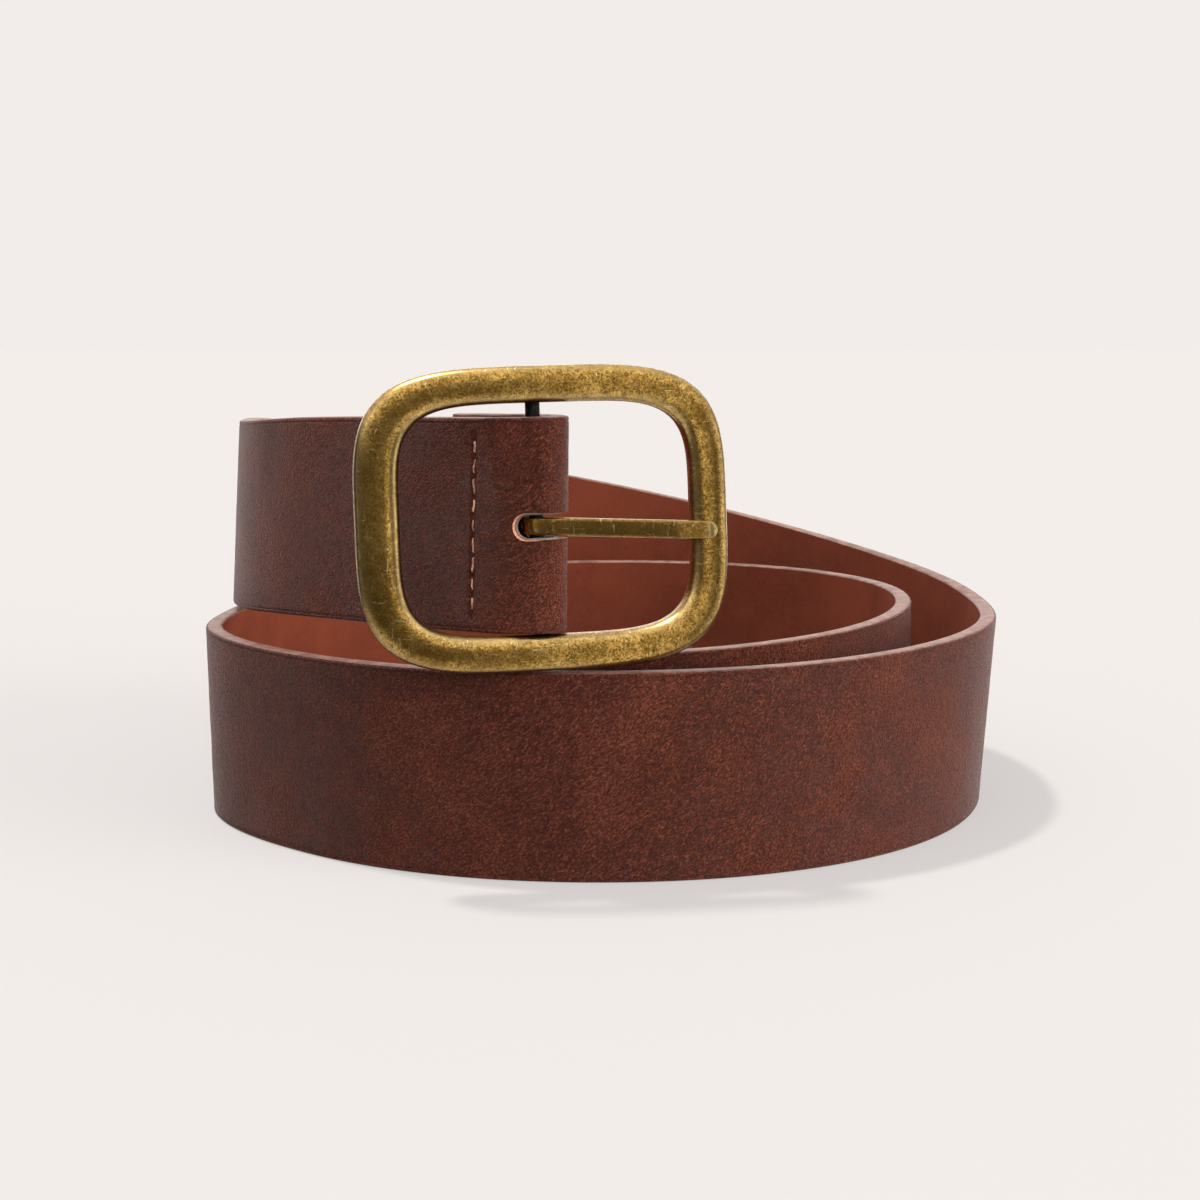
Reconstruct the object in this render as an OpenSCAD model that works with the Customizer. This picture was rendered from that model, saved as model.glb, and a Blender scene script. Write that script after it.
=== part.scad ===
// A leather belt, coiled on its edge, with a centre-bar buckle resting on top of the coil.
// The grain face looks outwards, the lining looks inwards, and the lower edge stands on Z = 0.

/* [Strap] */
// Width of the strap
strap_width = 40; // [38:0.5:40]
// Thickness of the grain leather
face_thickness = 1.2; // [0.8:0.1:1.3]
// Thickness of the filler between the two leathers
core_thickness = 1.3; // [0.8:0.1:1.3]
// Thickness of the lining leather
lining_thickness = 1; // [0.6:0.1:1]
// Turn angle at which the free end of the strap stops
tail_angle = 768; // [758:1:770]
// Length over which the free end narrows to its tip
tip_length = 24; // [16:1:34]

/* [Prong holes] */
// Number of prong holes
hole_count = 7; // [5:1:8]
// Distance between prong holes
hole_pitch = 25; // [20:0.5:26]
// Diameter of a prong hole
hole_diameter = 4; // [3.8:0.1:5]
// Distance from the tip to the nearest prong hole
tip_to_hole = 91; // [60:1:95]

/* [Buckle] */
// Half width of the frame across the belt's length
frame_half_width = 34.9; // [34:0.1:36]
// Half height of the frame across the belt's width
frame_half_height = 28.3; // [28:0.1:28.5]
// Width of the frame's limbs above and below the strap
limb_width = 6.9; // [6:0.1:7.2]
// Width of the limb that the strap passes behind
strap_limb_width = 8.3; // [7:0.1:8.5]
// Width of the limb that the prong rests on
prong_limb_width = 7.2; // [7:0.1:7.6]
// Thickness of the frame from front to back
frame_depth = 6.2; // [5:0.1:6.4]
// Radius to which the frame is bowed
frame_bow = 280; // [260:10:600]
// Diameter of the centre bar
bar_diameter = 2.8; // [2.6:0.1:3]
// Width of the prong
prong_width = 3.4; // [3:0.1:3.7]
// Distance from the centre bar to the prong's tip
prong_reach = 33.2; // [32:0.1:34]

/* [Stitching] */
// Number of stitches across the strap
stitch_count = 9; // [6:1:12]
// Thickness of the thread
thread_diameter = 0.7; // [0.4:0.05:0.8]
// Distance from the fold's edge to the stitching
stitch_setback = 17.6; // [16:0.1:18.5]

/* [Hidden] */
$fn = 48;

// Middle of the turns, measured from the middle of the whole belt's footprint
coil_centre = [-0.95, -5.58];

// Stations along the strap: turn angle, radius of the grain face at the lower edge,
// height of the lower edge, and outward lean in degrees. Angle 0 is the front (-Y) and
// 90 is the left (-X). The strap starts at the buckle, drops to the ground over its
// first turn, and ends inside the coil.
stations = [
    [9.9, 81, 47.4, -3.7],
    [14, 80.9, 47.2, -3.7],
    [20, 79.2, 47, -3.8],
    [27, 77, 46.7, -4],
    [36, 75.2, 46.3, -4.4],
    [46, 74.6, 45.8, -4.7],
    [60, 76.4, 44.8, -4.4],
    [75, 79.2, 43.2, -3.9],
    [90, 82.2, 41.8, -3.3],
    [105, 85.4, 41, -2.2],
    [120, 88.6, 38.7, -0.6],
    [135, 91, 34.7, 0.9],
    [155, 92.2, 27.8, 2.2],
    [180, 91.7, 19.8, 3.4],
    [225, 91.3, 5.3, 6],
    [255, 85.7, 0.5, 5],
    [270, 82.8, 0, 4.6],
    [315, 80.6, 0, -1.2],
    [360, 79.4, 0, -1],
    [405, 82.8, 0, 1.4],
    [433, 86.6, 0, 1.2],
    [450, 82.8, 0.3, 0.6],
    [470, 78.6, 0.6, 0.4],
    [495, 77, 0.8, 0.6],
    [540, 78.5, 1, 1],
    [585, 74.6, 1.8, 0.6],
    [630, 67.4, 2.3, 0],
    [675, 62.2, 1.4, -0.4],
    [720, 59.2, 0.3, 0],
    [785, 56.2, 0, 0]
];
step_angle = 4;
strap_thickness = face_thickness + core_thickness + lining_thickness;

// Fold round the bar: the loop's inner radius, the length over which the two layers
// close on each other, and how far the turned-back layer reaches and how far it rises
loop_radius = 1.9;
loop_straight = 3.4;
loop_closed = 10;
layer_gap = 0.05;
fold_radius = strap_thickness + loop_radius;
turn_back = 20.1;
turn_rise = 0.5;
fold_steps = 12;
fold_angle = stations[0][0];
first_radius = stations[0][1];

// Buckle attitude: lean follows the strap, roll is in the frame's own plane,
// and yaw turns the prong's side away. The bar crosses frame_shift left of its middle.
frame_lean = 3.7;
frame_roll = 2;
frame_yaw = 9.3;
bar_radius = bar_diameter / 2;
bar_slack = 0.45;
bar_behind = 2.4;
bar_height = 20.85;
bar_sunk = 3.4;
boss_radius = 2.5;
boss_cover = 1.2;
top_boss = 4.8;
lower_boss = 4.5;
frame_shift = 1.1;
outline_power = 3.9;
opening_power = 4.7;
limb_power = 2.5;
outline_steps = 72;
limb_steps = 16;

// Prong: wall of its eye, drop of its tip, and where it crosses the slot
eye_radius = 2.7;
prong_clearance = 0.06;
prong_drop = 3.4;
prong_level = -1.35;
prong_lift = 0.2;
tip_thickness = 1.6;
root_thickness = 1.8;
slot_height = 4.8;
slot_reach = 3.25;

stitch_margin = 3.6;
stitch_pitch = (strap_width - 2 * stitch_margin) / stitch_count;
thread_radius = thread_diameter / 2;

// Smooth value of column k of the stations at turn angle a
function station_at(a, i = 0) =
    i >= len(stations) - 2 || a < stations[i + 1][0] ? i : station_at(a, i + 1);
function clamp_index(i) = max(0, min(len(stations) - 1, i));
function station_slope(i, k) =
    let (before = stations[clamp_index(i - 1)], after = stations[clamp_index(i + 1)])
    (after[k] - before[k]) / (after[0] - before[0]);
function along(a, k) =
    let (
        i = station_at(a),
        span = stations[i + 1][0] - stations[i][0],
        t = (a - stations[i][0]) / span
    )
    (2 * pow(t, 3) - 3 * pow(t, 2) + 1) * stations[i][k]
    + (pow(t, 3) - 2 * pow(t, 2) + t) * span * station_slope(i, k)
    + (3 * pow(t, 2) - 2 * pow(t, 3)) * stations[i + 1][k]
    + (pow(t, 3) - pow(t, 2)) * span * station_slope(i + 1, k);

// Plan point of the grain face, the unit vector towards the lining, and the plan
// direction and size of the lean, at turn angle a
function face_point(a) = coil_centre - along(a, 1) * [sin(a), cos(a)];
function inward(a) =
    let (travel = face_point(a + 0.25) - face_point(a - 0.25))
    [travel[1], -travel[0]] / norm(travel);
function lean_shift(a) = -sin(along(a, 3)) * [sin(a), cos(a)];

// A ring holds: plan point of the grain face, unit vector towards the lining, lean
// per unit of height, height of the lower edge, rise per unit, and half width
function turn_ring(a, half = strap_width / 2) =
    [face_point(a), inward(a), lean_shift(a), max(0, along(a, 2)), cos(along(a, 3)), half];

// Gap between the front layer and the turned-back layer, s mm behind the bar
function gap_at(s) =
    let (t = max(0, min(1, (s - loop_straight) / (loop_closed - loop_straight))))
    layer_gap + (2 * loop_radius - layer_gap) * (1 - t * t * (3 - 2 * t));
function back_ring(s) =
    let (a = fold_angle + s / first_radius * 180 / PI, n = inward(a))
    [face_point(a) + n * (2 * strap_thickness + gap_at(s)), -n,
     lean_shift(fold_angle), along(a, 2) + turn_rise * min(1, s / loop_closed),
     cos(frame_lean), strap_width / 2];
function fold_ring(turn) =
    let (
        n = inward(fold_angle),
        out = [n[0] * cos(turn) + n[1] * sin(turn), n[1] * cos(turn) - n[0] * sin(turn)]
    )
    [loop_centre + fold_radius * out, -out, lean_shift(fold_angle),
     along(fold_angle, 2), cos(frame_lean), strap_width / 2];
loop_centre = face_point(fold_angle) + fold_radius * inward(fold_angle);

// Length along the strap, used to space the holes and the tip
function path_length(a, total = 0) =
    a >= tail_angle ? total
    : path_length(a + 1, total + norm(face_point(a + 1) - face_point(a)));
hole_angles = [
    for (i = [0 : hole_count - 1])
        angle_from_tip(tip_to_hole + i * hole_pitch, tail_angle)
];
function angle_from_tip(distance, a) =
    distance <= 0 ? a
    : angle_from_tip(distance - norm(face_point(a) - face_point(a - 0.5)), a - 0.5);

// The tip narrows as a half ellipse
tip_angle = angle_from_tip(tip_length, tail_angle);
function tip_half(t) = strap_width / 2 * max(0.06, sqrt(1 - pow(t, 2.4)));

back_rings = [for (s = [turn_back : -turn_back / 8 : 0.1]) back_ring(s)];
fold_rings = [for (i = [0 : fold_steps - 1]) fold_ring(i * 180 / fold_steps)];
coil_rings = [
    for (i = [0 : floor((tip_angle - fold_angle) / step_angle)])
        turn_ring(fold_angle + i * step_angle)
];
tip_rings = [
    for (i = [1 : 9])
        let (t = sin(i * 10))
        turn_ring(tip_angle + t * (tail_angle - tip_angle), tip_half(t))
];
rings = concat(back_rings, fold_rings, coil_rings, tip_rings);

// Point at a depth under the grain face and a height along the strap's width
function ring_point(ring, depth, up) =
    let (plan = ring[0] + ring[1] * depth + ring[2] * up)
    [plan[0], plan[1], ring[3] + ring[4] * up];
function corners(ring, near, far) =
    let (low = strap_width / 2 - ring[5], high = strap_width / 2 + ring[5])
    [ring_point(ring, near, low), ring_point(ring, near, high),
     ring_point(ring, far, high), ring_point(ring, far, low)];

// One layer of the strap, between two depths under the grain face. Both of its broad
// sides are split along the same diagonals, so that neighbouring layers meet exactly.
module layer(near, far) {
    last = 4 * (len(rings) - 1);
    polyhedron(
        points = [for (ring = rings) each corners(ring, near, far)],
        faces = concat(
            [[0, 1, 2, 3]],
            [
                for (i = [0 : len(rings) - 2], k = [0 : 3])
                    let (a = 4 * i + k, b = 4 * i + (k + 1) % 4)
                    each k == 2 ? [[a, a + 4, b], [b, a + 4, b + 4]]
                    : [[a, a + 4, b + 4], [a, b + 4, b]]
            ],
            [[last + 3, last + 2, last + 1, last]]
        ),
        convexity = 10
    );
}

// Places children at the strap's middle at turn angle a, with +Z towards the lining
module through_strap(a, up) {
    ring = turn_ring(a);
    n = ring[1];
    lean = along(a, 3);
    translate(ring_point(ring, 0, up))
        rotate([0, 90 - lean, atan2(n[1], n[0])])
            children();
}

module prong_holes() {
    for (a = hole_angles)
        through_strap(a, strap_width / 2)
            translate([0, 0, -4])
                cylinder(h = 12, d = hole_diameter);
}

// Places children on the centre bar, with +Z along the bar and +Y away from the front
bar_middle = [loop_centre[0], loop_centre[1]] + lean_shift(fold_angle) * strap_width / 2;
module at_bar(turn = 0) {
    translate([bar_middle[0] - bar_slack, bar_middle[1], along(fold_angle, 2) + bar_height])
        rotate([-frame_lean, -frame_roll, 0])
            rotate([0, 0, turn])
                children();
}

// Slot that lets the prong turn on the bar, cut through both layers of the fold
module prong_slot() {
    round_end = slot_reach - slot_height / 2;
    at_bar(-fold_angle)
        translate([0, 0, prong_level])
            rotate([90, 0, 0]) {
                translate([-round_end, 0, -14])
                    cylinder(h = 28, d = slot_height);
                translate([-round_end, -slot_height / 2, -14])
                    cube([12 + round_end, slot_height, 28]);
            }
}

module strap_layer(near, far) {
    difference() {
        layer(near, far);
        prong_holes();
        prong_slot();
    }
}

module face_leather() {
    color([0.33, 0.19, 0.17]) strap_layer(0, face_thickness);
}

module filler_core() {
    color([0.45, 0.42, 0.42]) strap_layer(face_thickness, face_thickness + core_thickness);
}

module lining_leather() {
    color([0.43, 0.2, 0.13]) strap_layer(face_thickness + core_thickness, strap_thickness);
}

// A row of stitches across the strap, on the side given by face, with legs that meet
// at half depth
stitch_angle = fold_angle + (stitch_setback - fold_radius) / first_radius * 180 / PI;
module stitch_row(face, leg_depth) {
    into = face == 0 ? 1 : -1;
    for (i = [0 : stitch_count - 1])
        through_strap(stitch_angle, stitch_margin + i * stitch_pitch)
            translate([0, 0, face]) {
                rotate([0, -90, 0])
                    translate([-into * 0.1, 0, 0.35])
                        cylinder(h = stitch_pitch - 0.7, r = thread_radius);
                for (up = [0.35, stitch_pitch - 0.35])
                    translate([-up, 0, into > 0 ? -0.1 : -leg_depth])
                        cylinder(h = leg_depth + 0.1, r = thread_radius * 0.8);
            }
}

pack_depth = 2 * strap_thickness + layer_gap;
module needle_thread() {
    color([0.72, 0.5, 0.38]) stitch_row(0, pack_depth / 2);
}

module bobbin_thread() {
    color([0.72, 0.5, 0.38]) stitch_row(pack_depth, pack_depth / 2 - 0.2);
}

// Frame: a limb of rounded section carried round between two squared ovals
function squared(c, power) = sign(c) * pow(abs(c), 2 / power);
function oval(t, half_width, half_height, power) =
    [half_width * squared(cos(t), power), half_height * squared(sin(t), power)];
opening_half_width = frame_half_width - (strap_limb_width + prong_limb_width) / 2;
opening_shift = (strap_limb_width - prong_limb_width) / 2;
function limb_point(t, s) =
    let (
        outer = oval(t, frame_half_width, frame_half_height, outline_power),
        inner = oval(t, opening_half_width, frame_half_height - limb_width, opening_power)
            + [opening_shift, 0],
        across = (1 + squared(cos(s), limb_power)) / 2,
        at = inner + (outer - inner) * across,
        bowed = pow(at[0] + frame_shift, 2) / (2 * frame_bow),
        depth = frame_depth / 2 * squared(sin(s), limb_power)
    )
    [at[0] + frame_shift, depth + bowed - bar_behind, at[1]];

module limb_ring() {
    count = outline_steps;
    polyhedron(
        points = [
            for (i = [0 : count - 1], k = [0 : limb_steps - 1])
                limb_point(360 * (i + 0.5) / count, 360 * (k + 0.5) / limb_steps)
        ],
        faces = [
            for (i = [0 : count - 1], k = [0 : limb_steps - 1])
                let (
                    a = i * limb_steps + k,
                    b = i * limb_steps + (k + 1) % limb_steps,
                    c = ((i + 1) % count) * limb_steps + k,
                    d = ((i + 1) % count) * limb_steps + (k + 1) % limb_steps
                )
                each [[a, c, d], [a, d, b]]
        ],
        convexity = 6
    );
}

bar_half = frame_half_height - limb_width + bar_sunk;
module buckle_frame() {
    color([0.55, 0.42, 0.2]) at_bar(frame_yaw)
        difference() {
            union() {
                limb_ring();
                translate([0, 0, bar_half + boss_cover - top_boss])
                    cylinder(h = top_boss, r = boss_radius);
                translate([0, 0, -bar_half - boss_cover])
                    cylinder(h = lower_boss, r = boss_radius);
            }
            cylinder(h = 2 * bar_half, r = bar_radius, center = true);
        }
}

module centre_bar() {
    color([0.12, 0.11, 0.11]) at_bar(frame_yaw)
        cylinder(h = 2 * bar_half, r = bar_radius, center = true);
}

// Prong: an eye round the bar and an arm whose tip lies on the limb
limb_crown = frame_half_width - prong_limb_width / 2 + frame_shift;
limb_front = limb_crown * limb_crown / (2 * frame_bow) - bar_behind - frame_depth / 2;
module prong() {
    tip_back = limb_front - prong_lift;
    rest = 0.78 * prong_reach;
    color([0.5, 0.38, 0.18]) at_bar(frame_yaw)
        difference() {
            union() {
                translate([0, 0, prong_level])
                    cylinder(h = prong_width, r = eye_radius, center = true);
                intersection() {
                    translate([0, 0, -12])
                        linear_extrude(24)
                            polygon([
                                [0, -eye_radius],
                                [rest, tip_back - tip_thickness],
                                [prong_reach, tip_back - tip_thickness + 0.3],
                                [prong_reach, tip_back],
                                [rest, tip_back],
                                [eye_radius, root_thickness - eye_radius - 0.3],
                                [0, root_thickness - eye_radius]
                            ]);
                    translate([0, 0, prong_level])
                        rotate([90, prong_drop, 0])
                            linear_extrude(20, center = true) {
                                translate([0, -prong_width / 2])
                                    square([prong_reach - prong_width / 2, prong_width]);
                                translate([prong_reach - prong_width / 2, 0])
                                    circle(d = prong_width);
                            }
                }
            }
            cylinder(h = 30, r = bar_radius + prong_clearance, center = true);
        }
}

face_leather();
filler_core();
lining_leather();
needle_thread();
bobbin_thread();
buckle_frame();
centre_bar();
prong();
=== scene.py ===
"""The looks of a coiled leather belt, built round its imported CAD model.

Sizes are in millimetres, as in the CAD source, and become metres when a mesh is made.
The strap's path is the CAD one: turn angle 0 is the front (-Y), 90 is the left (-X),
the grain face looks outwards and the lining looks inwards.
"""

import math
from functools import reduce

import bpy
import numpy as np
from mathutils import Matrix, Vector, noise

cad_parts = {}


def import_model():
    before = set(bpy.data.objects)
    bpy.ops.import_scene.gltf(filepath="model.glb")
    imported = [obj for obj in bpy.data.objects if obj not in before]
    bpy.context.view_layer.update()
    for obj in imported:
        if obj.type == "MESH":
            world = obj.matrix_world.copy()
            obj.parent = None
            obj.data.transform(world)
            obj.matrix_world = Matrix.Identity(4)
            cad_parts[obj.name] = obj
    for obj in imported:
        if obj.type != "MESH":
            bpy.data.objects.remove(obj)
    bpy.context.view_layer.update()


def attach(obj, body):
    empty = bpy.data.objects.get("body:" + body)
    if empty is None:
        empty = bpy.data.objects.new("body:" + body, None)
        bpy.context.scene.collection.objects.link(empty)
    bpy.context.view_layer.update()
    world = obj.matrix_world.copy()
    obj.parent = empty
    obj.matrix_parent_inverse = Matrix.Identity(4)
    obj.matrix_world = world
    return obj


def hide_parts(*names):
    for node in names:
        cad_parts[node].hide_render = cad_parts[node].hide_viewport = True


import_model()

MM = 0.001

# Strap
WIDTH = 40.0
FACE, CORE, LINING = 1.2, 1.3, 1.0
THICK = FACE + CORE + LINING
TAIL_ANGLE = 768
TIP_LENGTH = 24.0
HOLE_COUNT, HOLE_PITCH, HOLE_DIAMETER = 7, 25.0, 4.0
TIP_TO_HOLE = 91.0
COIL_CENTRE = np.array([-0.95, -5.58])

# Stations: turn angle, radius of the grain face at the lower edge, height of the
# lower edge, and outward lean in degrees
STATIONS = np.array([
    [9.9, 81, 47.4, -3.7],
    [14, 80.9, 47.2, -3.7],
    [20, 79.2, 47, -3.8],
    [27, 77, 46.7, -4],
    [36, 75.2, 46.3, -4.4],
    [46, 74.6, 45.8, -4.7],
    [60, 76.4, 44.8, -4.4],
    [75, 79.2, 43.2, -3.9],
    [90, 82.2, 41.8, -3.3],
    [105, 85.4, 41, -2.2],
    [120, 88.6, 38.7, -0.6],
    [135, 91, 34.7, 0.9],
    [155, 92.2, 27.8, 2.2],
    [180, 91.7, 19.8, 3.4],
    [225, 91.3, 5.3, 6],
    [255, 85.7, 0.5, 5],
    [270, 82.8, 0, 4.6],
    [315, 80.6, 0, -1.2],
    [360, 79.4, 0, -1],
    [405, 82.8, 0, 1.4],
    [433, 86.6, 0, 1.2],
    [450, 82.8, 0.3, 0.6],
    [470, 78.6, 0.6, 0.4],
    [495, 77, 0.8, 0.6],
    [540, 78.5, 1, 1],
    [585, 74.6, 1.8, 0.6],
    [630, 67.4, 2.3, 0],
    [675, 62.2, 1.4, -0.4],
    [720, 59.2, 0.3, 0],
    [785, 56.2, 0, 0],
])

# Fold round the bar
LOOP_RADIUS = 1.9
LOOP_STRAIGHT, LOOP_CLOSED = 3.4, 10.0
LAYER_GAP = 0.05
FOLD_RADIUS = THICK + LOOP_RADIUS
TURN_BACK, TURN_RISE = 20.1, 0.5
FOLD_ANGLE, FIRST_RADIUS = STATIONS[0, 0], STATIONS[0, 1]
SLOT_HEIGHT, SLOT_REACH = 4.8, 3.25
SLOT_LENGTH = 12.0
HOLE_CUT_OUT, HOLE_CUT_IN = 4, 8

# The slot's wall: how far in front of the bar, and how much wider than the slot
SLOT_STEPS = [(14, 0.36), (5.4, 0.3), (5.15, 0.12), (4.8, 0.02), (-14, 0)]
FILLER_SLOT_STEPS = [(14, -0.25), (-14, -0.25)]

# Buckle
FRAME_HALF_WIDTH, FRAME_HALF_HEIGHT = 34.9, 28.3
LIMB_WIDTH, STRAP_LIMB_WIDTH, PRONG_LIMB_WIDTH = 6.9, 8.3, 7.2
FRAME_DEPTH, FRAME_BOW = 6.2, 280.0
FRAME_LEAN, FRAME_ROLL, FRAME_YAW = 3.7, 2.0, 9.3
FRAME_SHIFT = 1.1
OUTLINE_POWER, OPENING_POWER, LIMB_POWER = 3.9, 4.7, 2.9
BAR_RADIUS, BAR_SLACK, BAR_BEHIND = 1.4, 0.45, 2.4
BAR_HEIGHT, BAR_SUNK = 20.85, 3.4
BOSS_RADIUS, TOP_BOSS_START = 2.4, 21.6
EYE_RADIUS, PRONG_CLEARANCE = 2.7, 0.06
PRONG_WIDTH, PRONG_REACH = 3.4, 33.2
PRONG_DROP, PRONG_LEVEL, PRONG_LIFT = 3.4, -1.35, 0.2
TIP_THICKNESS, ROOT_THICKNESS = 1.6, 1.8
ROOT_AT, ROOT_ROUND = -1.1, 0.8
CURL_TURN, CURL_START, CURL_NARROWER = 292, -76, 0.12
PRONG_LEVEL_FROM, TIP_ROUND, TIP_THINNING = 0.78, 1.9, 0.4
PRONG_FACE_POWER, PRONG_SIDE_POWER = 4.5, 7.5
AXIS_RADIUS = 0.05

# The frame's wear: where the bright ridges are, in degrees round the limb, how wide
# they are and how much fainter the outer one is; and its dents
INNER_RIDGE, OUTER_RIDGE, RIDGE_SPREAD, OUTER_WEAR = 222, 318, 16, 0.6
FRAME_SINK, WIDE_DENT, SMALL_DENT = 0.03, 0.03, 0.012

# The collar round the bar's upper end: radius and height, from the top down
COLLAR = [
    (AXIS_RADIUS, 25.6),
    (BOSS_RADIUS, 25.6),
    (BOSS_RADIUS, 22.3),
    (2.2, 21.9),
    (1.7, TOP_BOSS_START),
    (AXIS_RADIUS, TOP_BOSS_START),
]

# Stitching
STITCH_COUNT, STITCH_SETBACK, STITCH_MARGIN = 9, 17.6, 3.6
STITCH_PITCH = (WIDTH - 2 * STITCH_MARGIN) / STITCH_COUNT
THREAD_RADIUS = 0.2
STITCH_DISTANCE = STITCH_SETBACK - FOLD_RADIUS
STITCH_ANGLE = FOLD_ANGLE + math.degrees(STITCH_DISTANCE / FIRST_RADIUS)

# Edges: how far the leather stops under the edge coat, and the rim that keeps its
# shape along the tip
COAT_COVER, RIM_KEPT = 0.4, 2.0

# The grain face's edge, which is rounded and has a creased line inside it: depth under
# the face and distance from the edge
FACE_EDGE = [
    (0.62, COAT_COVER),
    (0.42, 0.22),
    (0.32, 0.15),
    (0.2, 0.18),
    (0.09, 0.3),
    (0.02, 0.5),
    (0.0, 0.68),
    (0.09, 0.82),
    (0.1, 0.92),
    (0.01, 1.08),
    (0, 1.35),
    (0, 1.8),
]
FLAT_FROM, FLAT_PITCH = 2.3, 0.85

# How uneven the grain face is, and how deep the stitches sink into it
SWELL_DEPTH, PUCKER_DEPTH = 0.07, 0.035
ROW_DEPTH, PUNCTURE_DEPTH, SUNK_WIDTH = 0.24, 0.4, 0.5

# The edge coat's bead: depth under the grain face and distance past the strap's edge
COAT_SECTION = [
    (0.5, -0.75),
    (0.33, -0.36),
    (0.34, -0.22),
    (0.44, -0.12),
    (0.64, -0.045),
    (1.1, -0.01),
    (1.75, 0.0),
    (2.5, -0.01),
    (3.05, -0.05),
    (3.34, -0.14),
    (3.47, -0.3),
    (3.5, -0.46),
    (3.42, -0.6),
    (2.9, -0.85),
    (0.7, -0.85),
]


def along(angle, column):
    """Smooth value of a column of the stations at an array of turn angles."""
    a = np.atleast_1d(np.asarray(angle, float))
    x, y = STATIONS[:, 0], STATIONS[:, column]
    k = np.arange(len(x))
    before, after = np.maximum(k - 1, 0), np.minimum(k + 1, len(x) - 1)
    slope = (y[after] - y[before]) / (x[after] - x[before])
    i = np.clip(np.searchsorted(x, a, side="right") - 1, 0, len(x) - 2)
    span = x[i + 1] - x[i]
    t = (a - x[i]) / span
    return (
        (2 * t**3 - 3 * t**2 + 1) * y[i]
        + (t**3 - 2 * t**2 + t) * span * slope[i]
        + (3 * t**2 - 2 * t**3) * y[i + 1]
        + (t**3 - t**2) * span * slope[i + 1]
    )


def compass(angle):
    """Plan unit vectors from the strap at turn angles towards the coil's middle."""
    a = np.radians(np.atleast_1d(np.asarray(angle, float)))
    return np.stack([np.sin(a), np.cos(a)], -1)


def face_point(angle):
    """Plan point of the grain face's lower edge."""
    return COIL_CENTRE - along(angle, 1)[:, None] * compass(angle)


def inward(angle):
    """Plan unit vector from the grain face towards the lining."""
    a = np.atleast_1d(np.asarray(angle, float))
    travel = face_point(a + 0.25) - face_point(a - 0.25)
    across = np.stack([travel[:, 1], -travel[:, 0]], -1)
    return across / np.linalg.norm(across, axis=1, keepdims=True)


def lean_shift(angle):
    """Plan shift for each millimetre up the strap's width."""
    return -np.sin(np.radians(along(angle, 3)))[:, None] * compass(angle)


def angle_from_tip(distance):
    """Turn angle that lies a distance from the strap's tip."""
    a = float(TAIL_ANGLE)
    while distance > 0:
        distance -= float(np.linalg.norm(face_point(a) - face_point(a - 0.5)))
        a -= 0.5
    return a


class Path:
    """Cross-sections along the strap: where each stands and which way it faces."""

    def __init__(self, plan, into, lean, foot, rise, half, reach):
        """plan is the grain face's lower edge, into the way towards the lining, lean
        the shift for each millimetre up, foot the lower edge's height, rise the height
        gained for each millimetre up, half the half width there, and reach how far
        from the bar it is along the strap, or below 0 in the fold."""
        self.plan, self.into, self.lean = plan, into, lean
        self.foot, self.rise, self.half, self.reach = foot, rise, half, reach

    def __len__(self):
        return len(self.plan)

    def part(self, first, last):
        """The stretch between two cross-sections."""
        cut = slice(first, last)
        fields = (self.plan, self.into, self.lean, self.foot, self.rise, self.half)
        return Path(*(f[cut] for f in fields), self.reach[cut])

    def points(self, depth, up):
        """Points at depths under the grain face and heights up the width, both arrays
        of one row for each cross-section."""
        plan = (
            self.plan[:, None]
            + self.into[:, None] * depth[..., None]
            + self.lean[:, None] * up[..., None]
        )
        height = self.foot[:, None] + self.rise[:, None] * up
        return np.concatenate([plan, height[..., None]], -1)


def turn_path(angles, half=None):
    """The strap's path at turn angles, at its full width unless half says less."""
    a = np.asarray(angles, float)
    return Path(
        face_point(a),
        inward(a),
        lean_shift(a),
        np.maximum(0, along(a, 2)),
        np.cos(np.radians(along(a, 3))),
        np.full(len(a), WIDTH / 2) if half is None else half,
        np.radians(a - FOLD_ANGLE) * FIRST_RADIUS,
    )


def gap_at(s):
    """Gap between the front layer and the turned-back layer, s behind the bar."""
    t = np.clip((s - LOOP_STRAIGHT) / (LOOP_CLOSED - LOOP_STRAIGHT), 0, 1)
    return LAYER_GAP + (2 * LOOP_RADIUS - LAYER_GAP) * (1 - t * t * (3 - 2 * t))


def fold_run(plan, into, foot, reach):
    """Cross-sections that lean as the fold does, at the strap's full width."""
    ones = np.ones(len(plan))
    lean = lean_shift(FOLD_ANGLE) * ones[:, None]
    rise = math.cos(math.radians(FRAME_LEAN)) * ones
    return Path(plan, into, lean, foot * ones, rise, WIDTH / 2 * ones, reach * ones)


def back_path(s):
    """The turned-back layer, s behind the bar."""
    a = FOLD_ANGLE + np.degrees(s / FIRST_RADIUS)
    n = inward(a)
    plan = face_point(a) + n * (2 * THICK + gap_at(s))[:, None]
    foot = along(a, 2) + TURN_RISE * np.minimum(1, s / LOOP_CLOSED)
    return fold_run(plan, -n, foot, s)


LOOP_CENTRE = (face_point(FOLD_ANGLE) + FOLD_RADIUS * inward(FOLD_ANGLE))[0]


def fold_path(turn):
    """The fold round the bar, at turns of 0 to 180 degrees from its back."""
    n = inward(FOLD_ANGLE)[0]
    t = np.radians(turn)
    out = np.stack(
        [n[0] * np.cos(t) + n[1] * np.sin(t), n[1] * np.cos(t) - n[0] * np.sin(t)], -1
    )
    return fold_run(LOOP_CENTRE + FOLD_RADIUS * out, -out, along(FOLD_ANGLE, 2), -1)


def joined(*paths):
    """One path made of paths that follow each other."""
    fields = ("plan", "into", "lean", "foot", "rise", "half", "reach")
    return Path(*(np.concatenate([getattr(p, f) for p in paths]) for f in fields))


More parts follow.
